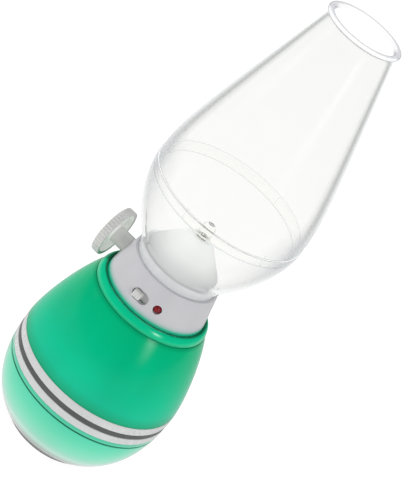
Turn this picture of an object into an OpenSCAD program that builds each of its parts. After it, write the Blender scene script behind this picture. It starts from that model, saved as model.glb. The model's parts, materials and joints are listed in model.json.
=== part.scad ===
// Blow-out desk lamp in the shape of an old oil lamp: an egg-shaped base in two
// translucent green shells, a white collar with the controls, and a clear chimney.
// Millimetres, +Z up. The origin is the centre of the foot on the table,
// the switch faces -Y, the dimmer knob -X and the charging socket +Y.

/* [Base] */
// Largest radius of the egg-shaped base
belly_r = 31.8; // [31.5:0.1:32.2]
// Height at which the base is widest
belly_z = 33; // [32.6:0.1:33.4]
// Radius at which the shell's outline starts, at the sole
sole_r = 18.7; // [18.4:0.1:19]
// Wall of the green shells
shell_wall = 2; // [1.8:0.1:2.2]

/* [Band] */
// Bottom of the white band between the two green shells
band_z = 26.6; // [26.2:0.1:27]
// Height of the white band
band_h = 8.3; // [7.8:0.1:8.8]
// Height of the grey stripe that lies in the band's groove
stripe_h = 2.2; // [1.8:0.1:2.6]

/* [Collar] */
// Radius of the white collar where it leaves the base
collar_low_r = 19.85; // [19.7:0.05:19.9]
// Radius of the collar under the chimney's skirt
collar_top_r = 16.9; // [16.7:0.1:17.1]
// Height of the step on which the chimney's skirt stands
neck_z = 82.9; // [82.6:0.1:83.2]
// Wall of the collar
collar_wall = 1.8; // [1.6:0.1:2]

/* [Chimney] */
// Height of the whole lamp, to the chimney's rim
total_h = 190.5; // [188:0.5:193]
// Largest radius of the chimney
bowl_r = 29.35; // [29:0.05:29.6]
// Height of the seam between the bowl and the flue
seam_z = 116; // [115:0.5:117]
// Outer radius of the turned-out lip at the mouth
mouth_r = 14; // [13.6:0.1:14.4]
// Wall of the clear chimney
clear_wall = 1.6; // [1.4:0.1:1.7]

/* [Controls] */
// Diameter of the dimmer knob
knob_d = 19.4; // [18:0.2:20]
// Width of the knob's ridged rim
knob_w = 3.1; // [2.8:0.1:3.4]
// Number of ridges round the knob
ridges = 48; // [36:4:60]
// Height of the knob's axis
knob_z = 75.6; // [75.2:0.1:76]
// Height of the switch and the charging light
switch_z = 75.1; // [74.8:0.1:75.4]
// Travel of the slide switch
switch_travel = 2; // [1.6:0.1:2]
// Direction of the charging light, in degrees from +X
light_angle = -67; // [-68:0.5:-66]

/* [Hidden] */
$fn = 96;
eps = 0.01;
steps = 20;         // straight pieces along one curved stretch of an outline
slip = 0.05;        // radial clearance of a push fit or a running fit

// Heights of the stack, from the table up
plate_z = 0.4;                          // underside of the base plate
rim_z = 1.2;                            // lower edge of the lower shell
ledge_z = 3.2;                          // underside of the shell's inner ledge
floor_z = 4.8;                          // top of that ledge, where the cradle stands
deck_z = 6.8;                           // top of the cradle's floor
band_top = band_z + band_h;
shell_top = 66.4;                       // mouth of the upper shell
flange_z = shell_top + 0.8;             // top of the collar's flange
collar_z = 69.4;                        // where the collar's cone starts
tail_z = 60;                            // lower end of the collar, inside the shell
trim_top = 69.8;                        // top of the trim ring
board_z = 71;                           // underside of the main board
board_t = 1.6;
board_top = board_z + board_t;
spigot_top = 86.5;                      // top of the collar's spigot
lamp_z = 83;                            // underside of the lamp board
lamp_top = lamp_z + 1.2;
ceiling_z = lamp_z - 1.2;               // underside of the collar's top
tip_z = 98.2;                           // flat tip of the diffuser cone
stripe_z = 29.5;

// Radii that several pieces share
ledge_r = 15;
plate_plug_r = 16.9;
band_in_r = 27.6;                       // inner radius of the band ring
band_step_r = 29.2;                     // its outer radius inside the shells
band_reach = 3.6;                       // how far it reaches into the lower shell
flange_r = 21.6;                        // collar's flange
tail_r = 20.2;
tail_in_r = 18.2;
mouth_hole_r = 20.4;                    // hole in the top of the upper shell
trim_in_r = 20.05;
spigot_r = 15.5;
cone_r = 13.9;
lamp_hole_r = 12.8;                     // opening under the lamp board
tip_r = 2.5;                            // radius of the clear light at the cone's tip
leg_at = 11.8;                          // distance of legs and base screws from the axis
leg_r = 2.4;
screw_hole_r = 1.15;                    // clearance hole for a base screw
leg_angles = [30, 150, 270];
cell_r = 7;                             // a 14 x 50 mm lithium cell
cell_z = 7.4;
cell_h = 50;
button_z = cell_z + cell_h + 1;         // top of the cell's button
tab_z = button_z + 0.4;                 // top of the tab on it
boss_at = 13.6;
boss_angles = [25, 137, 223];
opening_d0 = 15;                        // the collar's openings are cut between these
opening_d1 = 22;                        // two distances from the axis
shaft_r = 2;
hub_r = 3.25;
knob_x = -24.1;                         // inner edge of the knob's rim
slider_w = 3.2;
slider_h = 2.6;
slider_rest = -switch_travel / 2;
led_r = 1.5;                            // a 3 mm light
led_z = 17.6;                           // where its dome starts, from the axis
usb_w = 7.5;
usb_h = 2.6;
wire_r = 0.6;

// Outlines of the base and the chimney, [radius, height] control points of cubic curves
low_curve = [[sole_r, 0.5], [belly_r + 0.2, 10.3], [belly_r, belly_z - 8], [belly_r, belly_z]];
up_curve = [[belly_r, belly_z], [belly_r, belly_z + 8.5], [26, 62.5], [21, 68.7]];
skirt_r = collar_top_r - 0.1;
skirt_z = neck_z + 1.6;                 // top of the skirt's straight part
waist = [18.4, 89];                     // where the neck's curve meets the bowl's
lap_h = 4;                              // height of the lap joint at the seam
lap_r = bowl_r - 0.95;                  // outer radius of the step cut for it
lip_r = 0.6;                            // rounding of the lip at the mouth
flue_foot_r = bowl_r - 0.3;
flue_top = total_h - 2.5;
neck_curve = [[skirt_r, skirt_z], [skirt_r, neck_z + 3.9], [17.3, neck_z + 4.7], waist];
bowl_curve = [waist, [28, 101], [bowl_r, seam_z - 4], [bowl_r, seam_z]];
flue_curve = [[flue_foot_r, seam_z], [flue_foot_r, seam_z + 12.7], [27, seam_z + 18.5],
    [mouth_r - 1.1, flue_top]];
lug_angles = [-96, -30, 74, 180];       // locating lugs at the seam

function bez(p, t) = pow(1 - t, 3) * p[0] + 3 * t * pow(1 - t, 2) * p[1]
    + 3 * t * t * (1 - t) * p[2] + pow(t, 3) * p[3];
function bez_dir(p, t) = pow(1 - t, 2) * (p[1] - p[0]) + 2 * t * (1 - t) * (p[2] - p[1])
    + t * t * (p[3] - p[2]);
// Point of the curve at t, moved inwards by w
function inset(p, t, w) = let (d = bez_dir(p, t)) bez(p, t) + w * [-d[1], d[0]] / norm(d);
// Parameter at which the curve, moved inwards by w, reaches height z
function t_at(p, z, w = 0, lo = 0, hi = 1, n = 30) = let (m = (lo + hi) / 2)
    n == 0 ? m : inset(p, m, w)[1] < z ? t_at(p, z, w, m, hi, n - 1) : t_at(p, z, w, lo, m, n - 1);
// Stretch of a curve between two heights, moved inwards by w
function stretch(p, z0, z1, w = 0, n = steps) = let (a = t_at(p, z0, w), b = t_at(p, z1, w))
    [for (i = [0:n]) inset(p, a + (b - a) * i / n, w)];
function back(list) = [for (i = [len(list) - 1:-1:0]) list[i]];
function arc(c, r, a0, a1, n = 12) = [for (i = [0:n]) let (a = a0 + (a1 - a0) * i / n)
    c + r * [cos(a), sin(a)]];
function radius_at(p, z) = bez(p, t_at(p, z))[0];
// Outer radius of the collar's cone at height z
function collar_r(z) = collar_low_r
    + (collar_top_r - collar_low_r) * (z - collar_z) / (neck_z - collar_z);

module spin(points) rotate_extrude() polygon(points);
module ring(r0, r1, z0, z1) spin([[r0, z0], [r1, z0], [r1, z1], [r0, z1]]);
module cylinder_z(r, z0, z1) translate([0, 0, z0]) cylinder(r = r, h = z1 - z0);
// Cylinder of radius r along a spoke at height z, from distance d0 to d1 from the axis
module spoke(angle, z, r, d0, d1) rotate([0, 0, angle]) translate([d0, 0, z]) rotate([0, 90, 0])
    cylinder(r = r, h = d1 - d0);
module at_angle(angle, d) rotate([0, 0, angle]) translate([d, 0, 0]) children();
// Screw that points up, its head's underside at z0
module screw(z0, head_r, head_h, shank_r, length) {
    difference() {
        translate([0, 0, z0 - head_h]) cylinder(r = head_r, h = head_h);
        for (a = [0, 90]) rotate([0, 0, a])
            translate([-head_r * 0.6, -head_r * 0.13, z0 - head_h - eps])
                cube([head_r * 1.2, head_r * 0.26, head_h * 0.5]);
    }
    translate([0, 0, z0 - eps]) cylinder(r = shank_r, h = length - shank_r);
    translate([0, 0, z0 + length - shank_r - 2 * eps]) cylinder(r1 = shank_r, r2 = shank_r * 0.3,
        h = shank_r);
}
// Slot with round ends, cut along a spoke
module slot_cut(angle, z, w, h, d0, d1) {
    for (s = [-1, 1]) rotate([0, 0, angle]) translate([0, s * (w - h) / 2, 0])
        spoke(0, z, h / 2, d0, d1);
    rotate([0, 0, angle]) translate([d0, -(w - h) / 2, z - h / 2]) cube([d1 - d0, w - h, h]);
}

// ---- Base ----
module rubber_foot() color("#262626")
    spin(concat([[14.3, 1.2], [14.3, 0.4]], arc([14.7, 0.4], 0.4, 180, 270, 4),
        arc([16.1, 0.4], 0.4, 270, 360, 4), [[16.5, 1.2]]));

module base_plate() color("#3a3a3c") difference() {
    spin(concat([[0, plate_z]], arc([18.7, plate_z + 0.5], 0.5, 270, 360, 4),
        [[19.2, rim_z], [plate_plug_r, rim_z], [plate_plug_r, ledge_z], [0, ledge_z]]));
    ring(14.25, 16.55, plate_z - 1, rim_z);
    for (a = leg_angles) at_angle(a, leg_at) {
        cylinder_z(screw_hole_r, -1, 4);
        cylinder_z(2.2, -1, 1.8);
    }
}

module base_screws() color("#9a9da0")
    for (a = leg_angles) at_angle(a, leg_at) screw(1.8, 2, 1.3, 0.95, 12);

module ballast_ring() color("#7d8186")
    spin([[14.5, deck_z], [19.9, deck_z], [20.4, deck_z + 0.5], [20.4, deck_z + 5],
        [14.5, deck_z + 5]]);

module lower_shell() color("#7fe0b6") difference() {
    spin(concat(stretch(low_curve, rim_z, band_z),
        back(stretch(low_curve, floor_z, band_z, shell_wall)),
        [[ledge_r, floor_z], [ledge_r, ledge_z], [plate_plug_r + slip, ledge_z],
            [plate_plug_r + slip, rim_z]]));
    // Fine groove below the shell's upper edge
    ring(radius_at(low_curve, 24.7) - 0.25, belly_r + 1, 24.5, 24.9);
}

module band_ring() color("#d8d8da") difference() {
    spin(concat(stretch(low_curve, band_z, belly_z - eps, 0, 6),
        stretch(up_curve, belly_z, band_top, 0, 4),
        [[band_step_r, band_top], [band_step_r, band_top + 2.5], [band_in_r, band_top + 2.5],
            [band_in_r, band_z - band_reach], [band_step_r + slip, band_z - band_reach],
            [band_step_r + slip, band_z]]));
    ring(belly_r - 0.8, belly_r + 1, stripe_z, stripe_z + stripe_h);
}

module stripe_ring() color("#5f6063") {
    low = stripe_z + slip;
    high = stripe_z + stripe_h - slip;
    edge = 0.25;
    spin(concat([[belly_r - 0.75, low]], arc([belly_r - 0.4, low + edge], edge, -90, 0, 3),
        arc([belly_r - 0.4, high - edge], edge, 0, 90, 3), [[belly_r - 0.75, high]]));
}

module upper_shell() color("#05b887")
    spin(concat(stretch(up_curve, band_top, shell_top - 0.25),
        [[radius_at(up_curve, shell_top) - 0.2, shell_top]],
        [[mouth_hole_r, shell_top], [mouth_hole_r, shell_top - 2]],
        back(stretch(up_curve, band_top, shell_top - 2, shell_wall))));

module trim_ring() color("#0cc792") {
    outer = radius_at(up_curve, shell_top);
    low = shell_top + 0.1;
    side = [[outer - 0.25, low], [outer + 0.15, low + 0.8], [outer - 1.1, trim_top - 0.6],
        [outer - 1.7, trim_top - 0.15]];
    spin(concat([for (i = [0:8]) bez(side, i / 8)],
        [[trim_in_r + 0.5, trim_top], [trim_in_r + 0.1, trim_top - 0.15],
            [trim_in_r, trim_top - 0.4], [trim_in_r, flange_z + slip],
            [flange_r + slip, flange_z + slip], [flange_r + slip, low]]));
}

// ---- Inside of the base ----
module battery_cradle() color("#e6e6e2") difference() {
    union() {
        cylinder_z(19.5, floor_z, deck_z);
        ring(cell_r + 0.15, cell_r + 1.9, deck_z - eps, 46);
    }
    for (a = leg_angles) at_angle(a, leg_at) cylinder_z(screw_hole_r, floor_z - 1, deck_z + 1);
    // Slot for the lower contact's tab
    translate([0, -2, deck_z]) cube([12, 4, 50]);
}

module battery() color("#3f6fb0") {
    top = cell_z + cell_h;
    spin([[0, cell_z], [5.6, cell_z], [5.8, cell_z + 0.3], [6.6, cell_z + 0.3],
        [cell_r, cell_z + 0.7], [cell_r, top - 0.7], [6.6, top - 0.3], [5.2, top - 0.3],
        [5, top - 0.6], [2.7, top - 0.6], [2.7, top + 0.7], [2.3, button_z], [0, button_z]]);
}

module battery_contacts() color("#b9bcc0") {
    cylinder_z(5.5, deck_z, cell_z - slip);
    translate([3, -1.5, deck_z]) cube([7.6, 3, cell_z - slip - deck_z]);
    cylinder_z(2.6, button_z, tab_z);
}

module battery_wires() {
    color("#c03028") translate([1.4, 0, 0]) cylinder_z(wire_r, tab_z, board_z);
    color("#222222") translate([9.9, 0, 0]) cylinder_z(wire_r, cell_z - slip, board_z);
}

// ---- Collar and its controls ----
module collar() color("#d6d6da") difference() {
    union() {
        spin([[tail_in_r, tail_z], [tail_r, tail_z], [tail_r, shell_top], [flange_r, shell_top],
            [flange_r, flange_z], [collar_low_r, flange_z], [collar_low_r, collar_z],
            [collar_top_r, neck_z], [spigot_r, neck_z], [spigot_r, spigot_top - 0.4],
            [spigot_r - 0.4, spigot_top], [cone_r + slip, spigot_top], [cone_r + slip, lamp_z],
            [lamp_hole_r, lamp_z], [lamp_hole_r, ceiling_z],
            [collar_r(ceiling_z) - collar_wall, ceiling_z],
            [collar_low_r - collar_wall, collar_z], [tail_in_r, shell_top - 0.4]]);
        // Long legs down to the cradle, each with a web to the skirt
        for (a = leg_angles) at_angle(a, leg_at) {
            cylinder_z(leg_r, deck_z, shell_top);
            translate([0, -0.8, tail_z]) cube([tail_in_r + 0.6 - leg_at, 1.6, shell_top - tail_z]);
        }
        // Bosses for the main board
        for (a = boss_angles) at_angle(a, boss_at) cylinder_z(2, board_top, lamp_z - 0.6);
    }
    for (a = leg_angles) at_angle(a, leg_at) cylinder_z(1, deck_z - 1, deck_z + 9);
    for (a = boss_angles) at_angle(a, boss_at) cylinder_z(0.8, board_top - 1, board_top + 5.5);
    slot_cut(-90, switch_z, 6.8, 4, opening_d0, opening_d1);
    spoke(light_angle, switch_z, led_r + 0.1, opening_d0, opening_d1);
    spoke(180, knob_z, hub_r + 0.3, opening_d0, opening_d1);
    slot_cut(90, board_top + usb_h / 2, usb_w + 0.9, usb_h + 0.9, opening_d0, opening_d1);
}

module main_board() color("#1f6b45") difference() {
    cylinder_z(16.6, board_z, board_top);
    // Notch for the dimmer's body
    translate([-20, -5.1, board_z - 1]) cube([12.7, 10.2, 4]);
    for (a = boss_angles) at_angle(a, boss_at) cylinder_z(0.9, board_z - 1, board_top + 1);
}

module board_screws() color("#9a9da0")
    for (a = boss_angles) at_angle(a, boss_at) screw(board_z, 1.5, 1.1, 0.75, 7);

module usb_socket() color("#b9bcc0") {
    difference() {
        translate([-usb_w / 2, 11, board_top]) cube([usb_w, 5.2, usb_h]);
        translate([-usb_w / 2 + 0.3, 11.4, board_top + 0.3]) cube([usb_w - 0.6, 6, usb_h - 0.6]);
    }
    translate([-1.9, 11.2, board_top + 0.9]) cube([3.8, 4.2, 0.6]);
}

module switch_body() color("#a8a8a6") difference() {
    translate([-3.9, -15.7, board_top]) cube([7.8, 3.6, 4.6]);
    // Window in which the slider's foot runs
    translate([-3, -16.7, switch_z - 1.8]) cube([6, 3.2, 3.6]);
}

module switch_slider() color("#f0f0ee") translate([slider_rest, -19.9, switch_z - slider_h / 2])
    difference() {
        translate([-slider_w / 2, 0, 0]) cube([slider_w, 6.1, slider_h]);
        // Grip grooves across the thumb face
        for (i = [-1:1]) translate([i * 0.8 - 0.15, -eps, -1]) cube([0.3, 0.25, slider_h + 2]);
    }

module charge_led() color("#b01c28") rotate([0, 0, light_angle]) translate([0, 0, switch_z]) {
    rotate([0, 90, 0]) spin(concat([[0, 14.6], [1.7, 14.6], [1.7, 15.4], [led_r, 15.4]],
        arc([0, led_z], led_r, 0, 90, 8)));
    for (s = [-0.64, 0.64]) {
        translate([13.2, s - 0.2, -0.2]) cube([1.4 + eps, 0.4, 0.4]);
        translate([13.2, s - 0.2, board_top - switch_z]) cube([0.4, 0.4, switch_z - board_top]);
    }
}

module dimmer_pot() color("#33373c") difference() {
    union() {
        translate([-14.2, -4.75, 70.9]) cube([6.6, 9.5, 9.4]);
        spoke(180, knob_z, 3, 13, 15.6);
    }
    spoke(180, knob_z, shaft_r + slip, 8.2, 17);
}

module dimmer_shaft() color("#c8cacc") spoke(180, knob_z, shaft_r, 8.4, 25.4);

module dimmer_knob() color("#dcdcda") {
    r = knob_d / 2;
    out = knob_w - 0.9;         // depth of the hollow that faces the lamp
    hub_d = 16.9;               // distance of the hub's inner end from the axis
    bore_r = shaft_r + 0.02;
    translate([0, 0, knob_z]) rotate([0, -90, 0]) difference() {
        translate([0, 0, -knob_x]) linear_extrude(knob_w)
            polygon([for (i = [0:4 * ridges - 1]) let (a = 90 * i / ridges)
                (i % 4 < 2 ? r : r - 0.45) * [cos(a), sin(a)]]);
        cylinder_z(r - 1.5, -knob_x - eps, -knob_x - eps + out);
        cylinder_z(r - 1.8, -knob_x + knob_w - 0.4, -knob_x + knob_w + 0.6);
        cylinder_z(bore_r, -knob_x - 1, -knob_x + 1.4);
    }
    translate([0, 0, knob_z]) rotate([0, -90, 0]) difference() {
        spin([[0, hub_d], [hub_r - 0.2, hub_d], [hub_r, hub_d + 0.2], [hub_r, -knob_x - 0.8],
            [hub_r + 0.9, -knob_x + out], [0, -knob_x + out]]);
        cylinder_z(bore_r, hub_d - 0.9, -knob_x + 1.4);
    }
}

// ---- Light inside the chimney ----
module lamp_board() color("#eceeea") difference() {
    cylinder_z(cone_r, lamp_z, lamp_top);
    for (x = [-1, 1]) translate([x * 2, 3, 0]) cylinder_z(wire_r + 0.15, lamp_z - 1, lamp_top + 1);
}

module lamp_leds() color("#f2e7a0")
    for (i = [0:5]) at_angle(30 + 60 * i, 9.4)
        translate([-1.4, -1.75, lamp_top]) cube([2.8, 3.5, 0.8]);

module microphone() color("#8d9093") translate([0, -4.6, 0]) difference() {
    cylinder_z(2.5, lamp_top, lamp_top + 2.4);
    cylinder_z(1.7, lamp_top + 2.2, lamp_top + 3);
}

module lamp_wires() color("#d9d4c8")
    for (x = [-1, 1]) translate([x * 2, 3, 0]) cylinder_z(wire_r, board_top, lamp_top + 0.3);

module diffuser_cone() color("#f4f6f6") difference() {
    flange_top = tip_z - 0.6;
    spin([[lamp_hole_r - 0.2, lamp_top], [cone_r, lamp_top], [cone_r, spigot_top],
        [4.4, tip_z - 0.4], [4, tip_z], [tip_r + 0.1, tip_z], [tip_r + 0.1, flange_top],
        [3, flange_top], [3, flange_top - 1], [lamp_hole_r - 0.2, spigot_top - 0.6]]);
    // Sound holes for the microphone
    for (x = [-1, 1]) translate([x * 3.35, 0, 0]) cylinder_z(0.4, tip_z - 3, tip_z + 1);
}

module flame_led() color("#f7f7f2") {
    foot = tip_z - 1.6;
    seat = tip_z - 0.65;
    spin(concat([[0, foot], [2.9, foot], [2.9, seat], [tip_r, seat]],
        arc([0, tip_z + 3.4], tip_r, 0, 90)));
    for (x = [-1.27, 1.27])
        translate([x - 0.25, -0.25, lamp_top]) cube([0.5, 0.5, foot - lamp_top + eps]);
}

module chimney_bowl() color("#e9f1f0", 0.35)
    spin(concat([[spigot_r + slip, neck_z + slip], [skirt_r - 0.05, neck_z + slip],
        [skirt_r, neck_z + 0.3]], stretch(neck_curve, skirt_z, waist[1], 0, 8),
        stretch(bowl_curve, waist[1], seam_z), [[lap_r, seam_z], [lap_r, seam_z - lap_h]],
        back(stretch(bowl_curve, waist[1] + 1.1, seam_z - lap_h, clear_wall)),
        [[spigot_r + slip, spigot_top + 0.9]]));

module chimney_flue() color("#eef3f4", 0.35) {
    tongue_r = lap_r - slip;
    tongue_in_r = tongue_r - 1.05;
    tongue_z = seam_z - lap_h + slip;
    spin(concat([[tongue_in_r, tongue_z], [tongue_r, tongue_z], [tongue_r, seam_z]],
        stretch(flue_curve, seam_z + eps, flue_top),
        arc([mouth_r - lip_r, total_h - lip_r], lip_r, -60, 90, 8),
        [[mouth_r - 1.7, total_h], [mouth_r - 2.1, total_h - 0.15], [mouth_r - 2.3, total_h - 0.6]],
        back(stretch(flue_curve, seam_z + 0.5, flue_top - 1, clear_wall))));
    // Locating lugs on the tongue
    for (a = lug_angles) at_angle(a, tongue_in_r - 0.4)
        translate([0, -0.4, tongue_z + 0.3]) cube([0.9, 0.8, lap_h - 0.4]);
}

rubber_foot();
base_plate();
base_screws();
ballast_ring();
lower_shell();
band_ring();
stripe_ring();
upper_shell();
trim_ring();
battery_cradle();
battery();
battery_contacts();
battery_wires();
collar();
main_board();
board_screws();
usb_socket();
switch_body();
switch_slider();
charge_led();
dimmer_pot();
dimmer_shaft();
dimmer_knob();
lamp_board();
lamp_leds();
microphone();
lamp_wires();
diffuser_cone();
flame_led();
chimney_bowl();
chimney_flue();
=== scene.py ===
import json
import math

import bmesh
import bpy
from mathutils import Matrix, Quaternion, Vector


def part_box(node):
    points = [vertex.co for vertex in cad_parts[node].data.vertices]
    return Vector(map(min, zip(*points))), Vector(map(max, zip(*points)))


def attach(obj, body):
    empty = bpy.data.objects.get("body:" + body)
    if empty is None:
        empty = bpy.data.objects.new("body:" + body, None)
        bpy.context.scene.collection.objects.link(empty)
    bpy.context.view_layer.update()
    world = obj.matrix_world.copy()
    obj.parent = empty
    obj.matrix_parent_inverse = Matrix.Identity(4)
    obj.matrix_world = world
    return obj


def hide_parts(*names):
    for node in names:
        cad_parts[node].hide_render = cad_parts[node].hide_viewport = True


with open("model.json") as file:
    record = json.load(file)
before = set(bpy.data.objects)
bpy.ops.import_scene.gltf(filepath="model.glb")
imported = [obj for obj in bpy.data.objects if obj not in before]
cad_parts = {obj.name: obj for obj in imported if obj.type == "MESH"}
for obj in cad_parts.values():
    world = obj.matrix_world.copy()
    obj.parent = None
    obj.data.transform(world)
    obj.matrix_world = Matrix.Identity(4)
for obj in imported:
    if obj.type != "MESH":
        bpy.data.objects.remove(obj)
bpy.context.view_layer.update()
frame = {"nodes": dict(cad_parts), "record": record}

MM = 0.001


# ---- Outlines ----

def box(node):
    """Lowest and highest corner of a CAD node, in millimetres."""
    low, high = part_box(node)
    return low / MM, high / MM


def bez(curve, t):
    """Point of a cubic curve at t."""
    u = 1 - t
    weights = (u ** 3, 3 * t * u * u, 3 * t * t * u, t ** 3)
    return Vector((sum(w * p[0] for w, p in zip(weights, curve)),
                   sum(w * p[1] for w, p in zip(weights, curve))))


def inset(curve, t, depth):
    """Point of the curve at t, moved inwards by depth."""
    along = bez(curve, min(t + 1e-4, 1)) - bez(curve, max(t - 1e-4, 0))
    along.normalize()
    return bez(curve, t) + depth * Vector((-along.y, along.x))


def t_at(curve, height, depth=0.0):
    """Parameter at which the curve, moved inwards by depth, reaches a height."""
    low, high = 0.0, 1.0
    for _ in range(30):
        middle = (low + high) / 2
        if inset(curve, middle, depth).y < height:
            low = middle
        else:
            high = middle
    return low


def stretch(curve, z0, z1, depth=0.0, count=24):
    """Points of the curve from height z0 to height z1, moved inwards by depth."""
    a, b = t_at(curve, z0, depth), t_at(curve, z1, depth)
    return [inset(curve, a + (b - a) * i / count, depth) for i in range(count + 1)]


def radius_at(curve, height):
    """Radius of the curve at a height."""
    return bez(curve, t_at(curve, height)).x


def arc(x, z, radius, start, end, count=16):
    """Points of an arc, from one angle to another in degrees."""
    angles = [math.radians(start + (end - start) * i / count) for i in range(count + 1)]
    return [Vector((x + radius * math.cos(a), z + radius * math.sin(a))) for a in angles]


def rounded(corners, count=5):
    """Closed outline through corners (x, z) or (x, z, fillet), each fillet drawn as an arc."""
    places = [Vector(c[:2]) for c in corners]
    outline = []
    for i, corner in enumerate(corners):
        here = places[i]
        before = places[i - 1] - here
        after = places[(i + 1) % len(places)] - here
        fillet = corner[2] if len(corner) > 2 else 0
        if not fillet:
            outline.append(here)
            continue
        half = before.angle(after) / 2
        cut = min(fillet / math.tan(half), 0.49 * before.length, 0.49 * after.length)
        radius = cut * math.tan(half)
        inwards = (before.normalized() + after.normalized()).normalized()
        centre = here + inwards * radius / math.sin(half)
        start = here + before.normalized() * cut - centre
        end = here + after.normalized() * cut - centre
        sweep = math.atan2(start.x * end.y - start.y * end.x, start.dot(end))
        for k in range(count + 1):
            turn = sweep * k / count
            outline.append(centre + Vector((
                start.x * math.cos(turn) - start.y * math.sin(turn),
                start.x * math.sin(turn) + start.y * math.cos(turn))))
    return outline


# ---- Meshes ----

def as_object(name, bm, sharp=38):
    """Turn a bmesh in metres into a smooth-shaded object, sharp where faces meet steeply."""
    bmesh.ops.remove_doubles(bm, verts=bm.verts, dist=1e-7)
    bmesh.ops.recalc_face_normals(bm, faces=bm.faces)
    mesh = bpy.data.meshes.new(name)
    bm.to_mesh(mesh)
    bm.free()
    mesh.shade_smooth()
    mesh.set_sharp_from_angle(angle=math.radians(sharp))
    piece = bpy.data.objects.new(name, mesh)
    bpy.context.scene.collection.objects.link(piece)
    return piece


def lathe(name, outline, turns=168, ripple=None, sharp=38):
    """Spin a closed outline of (radius, height) about the lamp's axis. ripple(radius, angle)
    gives the radius at an angle, for ridges."""
    bm = bmesh.new()
    angles = [2 * math.pi * i / turns for i in range(turns)]
    rings = []
    for r, z in outline:
        if r < 1e-6:
            rings.append([bm.verts.new((0, 0, z * MM))])
            continue
        radii = [ripple(r, a) if ripple else r for a in angles]
        rings.append([bm.verts.new((q * MM * math.cos(a), q * MM * math.sin(a), z * MM))
                      for q, a in zip(radii, angles)])
    for ring, after in zip(rings, rings[1:] + rings[:1]):
        count = max(len(ring), len(after))
        for i in range(count if count > 1 else 0):
            j = (i + 1) % count
            corners = [ring[i % len(ring)], ring[j % len(ring)],
                       after[j % len(after)], after[i % len(after)]]
            bm.faces.new(list(dict.fromkeys(corners)))
    return as_object(name, bm, sharp)


def block(name, low, high, bevel=0.2, segments=3):
    """Box between two corners in millimetres, with rounded edges."""
    bm = bmesh.new()
    bmesh.ops.create_cube(bm, size=1)
    size = Vector(high) - Vector(low)
    middle = (Vector(high) + Vector(low)) / 2
    for v in bm.verts:
        v.co = Vector((v.co.x * size.x, v.co.y * size.y, v.co.z * size.z)) + middle
        v.co *= MM
    bmesh.ops.bevel(bm, geom=bm.edges[:], offset=bevel * MM, segments=segments, profile=0.5,
                    affect="EDGES")
    return as_object(name, bm)


def paint_faces(piece, material, chosen):
    """Give the faces whose middle, in millimetres, is chosen a material of their own."""
    piece.data.materials.append(MATERIALS[material])
    index = len(piece.data.materials) - 1
    for face in piece.data.polygons:
        if chosen(face.center / MM):
            face.material_index = index


def paint_wall(piece, curve, z0, z1, material="clear_wall"):
    """Give the faces on a curve's outer side, between two heights, the wall's material."""
    paint_faces(piece, material, lambda at: z0 < at.z < z1
                and at.xy.length > radius_at(curve, at.z) - 0.4)


def turn_mesh(piece, matrix):
    """Move a piece's own vertices, so that its object stays at the origin."""
    piece.data.transform(matrix)
    return piece


def moved(piece, x, y, z=0.0):
    """Shift a piece's vertices by a distance in metres."""
    return turn_mesh(piece, Matrix.Translation((x, y, z)))


def on_screw_circle(piece, angle):
    """Shift a piece from the axis to a screw's place, angle degrees from +X."""
    a = math.radians(angle)
    return moved(piece, screw_circle_r * MM * math.cos(a), screw_circle_r * MM * math.sin(a))


def towards(angle, height=0.0):
    """Matrix that lays a shape made along +Z out along a spoke, angle degrees from +X."""
    return (Matrix.Translation((0, 0, height * MM)) @ Matrix.Rotation(math.radians(angle), 4, "Z")
            @ Matrix.Rotation(math.radians(90), 4, "Y"))


def stadium(name, width, height, depth0, depth1):
    """Bar with a stadium section, width x height, that lies along -Y from depth0 to depth1."""
    bm = bmesh.new()
    half = (width - height) / 2
    outline = arc(half, 0, height / 2, -90, 90) + arc(-half, 0, height / 2, 90, 270)
    ends = [[bm.verts.new((p.x * MM, -d * MM, p.y * MM)) for p in outline]
            for d in (depth0, depth1)]
    bm.faces.new(ends[0])
    bm.faces.new(ends[1])
    for i in range(len(outline)):
        j = (i + 1) % len(outline)
        bm.faces.new([ends[0][i], ends[0][j], ends[1][j], ends[1][i]])
    return as_object(name, bm)


def join(piece, others):
    """Add other pieces' meshes to this one."""
    bm = bmesh.new()
    for each in [piece] + others:
        bm.from_mesh(each.data)
    name = piece.name
    for each in [piece] + others:
        bpy.data.objects.remove(each)
    return as_object(name, bm)


def cut(piece, cutters, bevel=0.0):
    """Take the cutters out of a piece, round the new edges, and delete the cutters."""
    for cutter in cutters:
        knife = piece.modifiers.new("cut", "BOOLEAN")
        knife.object = cutter
        knife.solver = "EXACT"
    if bevel:
        rounding = piece.modifiers.new("round", "BEVEL")
        rounding.width = bevel * MM
        rounding.segments = 3
        rounding.angle_limit = math.radians(40)
        rounding.harden_normals = True
    mesh = bpy.data.meshes.new_from_object(
        piece.evaluated_get(bpy.context.evaluated_depsgraph_get()))
    piece.modifiers.clear()
    piece.data = mesh
    for cutter in cutters:
        bpy.data.objects.remove(cutter)
    return piece


# ---- Materials ----

def math_node(tree, operation, a, b):
    """Output of a math node whose two inputs are numbers or other nodes' outputs."""
    node = tree.nodes.new("ShaderNodeMath")
    node.operation = operation
    for socket, value in zip(node.inputs, (a, b)):
        if isinstance(value, (int, float)):
            socket.default_value = value
        else:
            tree.links.new(value, socket)
    return node.outputs["Value"]


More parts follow.
